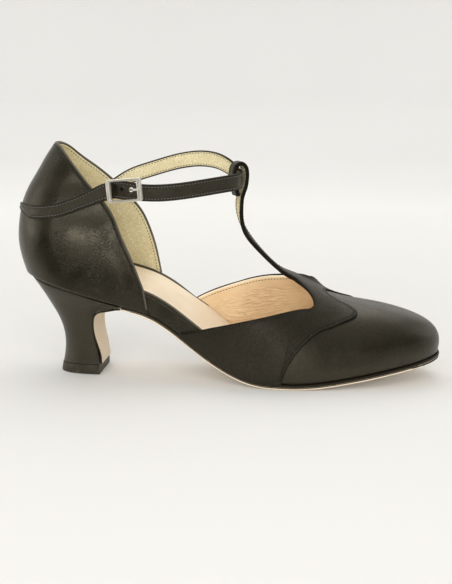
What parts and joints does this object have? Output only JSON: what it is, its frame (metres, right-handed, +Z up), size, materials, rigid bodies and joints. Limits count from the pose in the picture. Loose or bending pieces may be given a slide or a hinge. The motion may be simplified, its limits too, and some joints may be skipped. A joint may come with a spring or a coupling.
{
  "type": "ballroom dance shoe",
  "caption": "Women's right T-strap dance shoe: black leather pump with open waist, scalloped vamp overlay, buckled ankle strap through a T-bar loop and a flared heel.",
  "frame": {"origin": "middle of the bounding box on the floor", "axes": "+X to the toe, +Z up, -Y to the outer side that carries the buckle"},
  "size_m": [0.2398, 0.0764, 0.1316],
  "materials": {
    "upper": "smooth black leather",
    "vamp_overlay": "smooth black leather",
    "ankle_strap": "smooth black leather",
    "buckle_strap": "smooth black leather",
    "insole": "pale beige sock leather",
    "midsole": "black edge dye",
    "outsole": "pale suede",
    "heel": "black leather cover",
    "top_piece": "matte black rubber",
    "buckle_frame": "polished nickel",
    "buckle_prong": "polished nickel"
  },
  "bodies": {
    "root": {"upper": "upper", "vamp_overlay": "vamp_overlay", "ankle_strap": "ankle_strap", "buckle_strap": "buckle_strap", "insole": "insole", "midsole": "midsole", "outsole": "outsole", "heel": "heel", "top_piece": "top_piece", "buckle_frame": "buckle_frame", "buckle_prong": "buckle_prong"}
  },
  "joints": []
}
